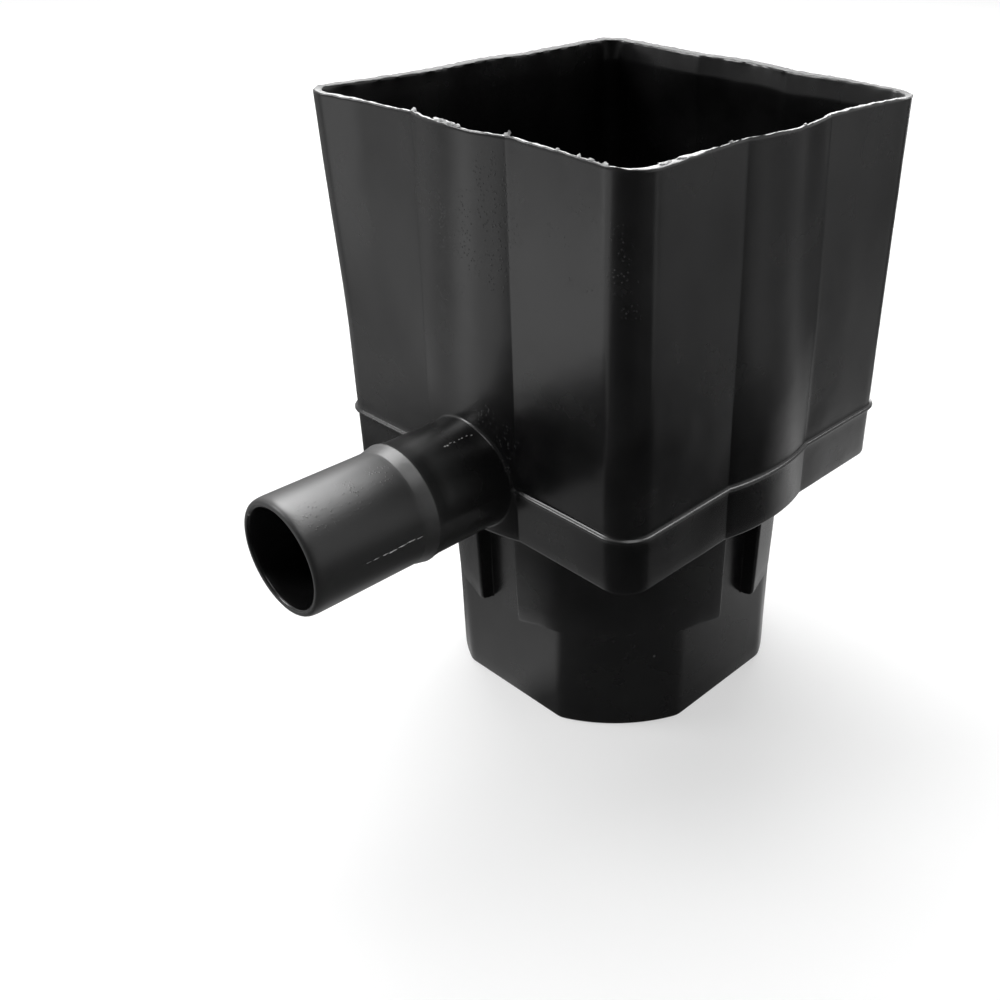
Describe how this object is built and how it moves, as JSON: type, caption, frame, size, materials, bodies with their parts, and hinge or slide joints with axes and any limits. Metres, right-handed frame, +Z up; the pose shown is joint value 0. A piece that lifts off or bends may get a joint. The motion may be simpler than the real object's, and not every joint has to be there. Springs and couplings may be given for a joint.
{
  "type": "rainwater diverter",
  "caption": "Square hollow downpipe diverter body with an open ribbed mouth on top, a lobed lower spigot and a round side outlet that leads rainwater off to a water butt.",
  "frame": {"origin": "on the axis of the downpipe, at the open lower end of the spigot", "axes": "+Z up along the downpipe to the open mouth, -Y out along the side outlet"},
  "size_m": [0.0794, 0.1166, 0.1145],
  "materials": {
    "black_plastic": "satin, blow-moulded"
  },
  "bodies": {
    "root": {"diverter_body": "black_plastic"}
  },
  "joints": []
}
